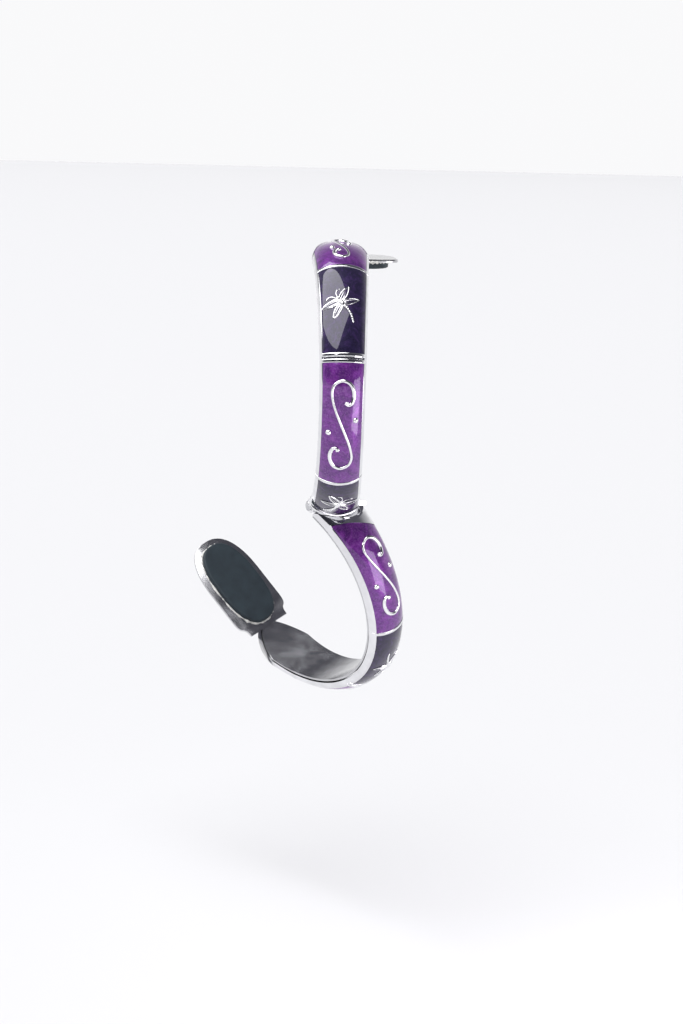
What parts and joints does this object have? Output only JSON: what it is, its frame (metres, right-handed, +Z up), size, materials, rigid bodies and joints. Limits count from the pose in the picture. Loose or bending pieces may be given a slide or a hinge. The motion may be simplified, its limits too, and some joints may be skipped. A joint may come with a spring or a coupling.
{
  "type": "folding bag hanger",
  "caption": "Folding bangle-shaped bag hanger: two hinged enamelled half rings with rubber pads, open as an S-shaped hook for a table edge.",
  "frame": {"origin": "middle of the rubber face that lies on the table", "axes": "+Z up with the table pad flat, +Y in over the table from its edge, +X to the right along the edge"},
  "size_m": [0.0546, 0.0917, 0.1238],
  "materials": {
    "polished_silver": "bright polished rhodium-coloured plating",
    "inner_silver": "bright plating with fine polishing lines",
    "wire_silver": "bright polished raised wire",
    "hinge_steel": "turned steel",
    "violet_enamel": "glossy pearly violet enamel",
    "dark_enamel": "glossy dark indigo enamel with violet swirls",
    "pad_rubber": "matte dark blue-grey rubber"
  },
  "bodies": {
    "upper_arm": {"upper_arm_shell": "polished_silver", "upper_arm_strip": "inner_silver", "table_pad": "pad_rubber", "upper_hinge_dark_enamel": "dark_enamel", "upper_hinge_dragonfly": "wire_silver", "upper_middle_violet_enamel": "violet_enamel", "upper_middle_scroll": "wire_silver", "upper_middle_dot_right": "wire_silver", "upper_middle_dot_left": "wire_silver", "upper_far_dark_enamel": "dark_enamel", "upper_far_dragonfly": "wire_silver", "upper_tip_violet_enamel": "violet_enamel", "upper_tip_scroll": "wire_silver", "upper_tip_dot_right": "wire_silver", "upper_tip_dot_left": "wire_silver", "upper_knuckle_left": "polished_silver", "upper_knuckle_right": "polished_silver", "hinge_pin": "hinge_steel"},
    "lower_arm": {"lower_arm_shell": "polished_silver", "lower_arm_strip": "inner_silver", "bag_pad": "pad_rubber", "lower_hinge_violet_enamel": "violet_enamel", "lower_hinge_scroll": "wire_silver", "lower_hinge_dot_right": "wire_silver", "lower_hinge_dot_left": "wire_silver", "lower_middle_dark_enamel": "dark_enamel", "lower_middle_dragonfly": "wire_silver", "lower_far_violet_enamel": "violet_enamel", "lower_far_scroll": "wire_silver", "lower_far_dot_right": "wire_silver", "lower_far_dot_left": "wire_silver", "lower_tip_dark_enamel": "dark_enamel", "lower_tip_dragonfly": "wire_silver", "lower_knuckle": "polished_silver"}
  },
  "joints": [
    {"name": "arm_fold", "type": "hinge", "parent": "upper_arm", "child": "lower_arm", "pos_m": [-0.0069, -0.01732, -0.05975], "axis": [0.9128, 0.4062, 0.0417], "range_deg": [0, 100]}
  ]
}
